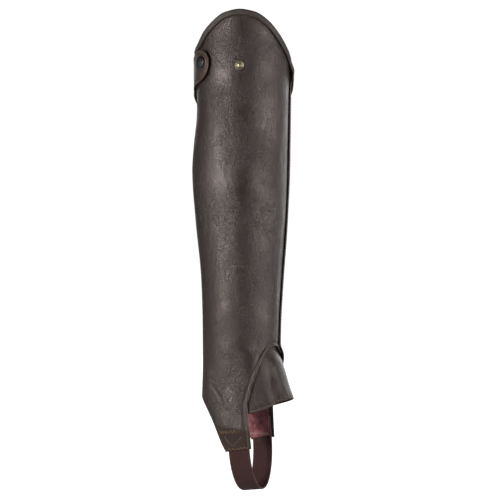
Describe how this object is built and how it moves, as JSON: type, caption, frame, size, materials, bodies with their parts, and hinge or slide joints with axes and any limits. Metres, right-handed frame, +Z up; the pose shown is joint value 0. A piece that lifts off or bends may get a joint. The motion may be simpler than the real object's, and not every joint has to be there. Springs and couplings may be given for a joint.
{
  "type": "riding half chap",
  "caption": "Brown leather riding half chap for a right leg, filled out and hollow as worn, with a high curved top, snap tab, back zip and elastic strap under the boot.",
  "frame": {"origin": "on the axis of the leg that wears it, level with the widest part of the calf", "axes": "+Z up the leg, +X towards the toe, -Y towards the wearer's outer side (a right leg)"},
  "size_m": [0.1138, 0.107, 0.5188],
  "materials": {
    "brown_leather": "smooth with a fine pebble grain and a soft sheen",
    "edge_leather": "smooth, olive brown, soft sheen",
    "burgundy_suede": "matt nap",
    "brown_elastic": "matt ribbed weave",
    "zip_cloth": "matt twill tape",
    "dark_metal": "dark plated, satin",
    "old_brass": "aged, satin"
  },
  "bodies": {
    "chap": {"outer_panel": "brown_leather", "inner_panel": "brown_leather", "instep_gusset": "brown_leather", "back_strip": "brown_leather", "top_binding": "edge_leather", "snap_tab": "brown_leather", "snap_cap": "dark_metal", "snap_stud": "dark_metal", "brass_stud": "old_brass", "zip_tape_outer": "zip_cloth", "zip_tape_inner": "zip_cloth", "zip_chain": "dark_metal", "zip_slider": "dark_metal", "tongue_lining": "burgundy_suede", "elastic_strap": "brown_elastic"},
    "pull": {"zip_pull": "dark_metal"}
  },
  "joints": [
    {"name": "pull_hinge", "type": "hinge", "parent": "chap", "child": "pull", "pos_m": [-0.04799, 0, 0.05798], "axis": [0, 1, 0], "range_deg": [0, 140]}
  ]
}
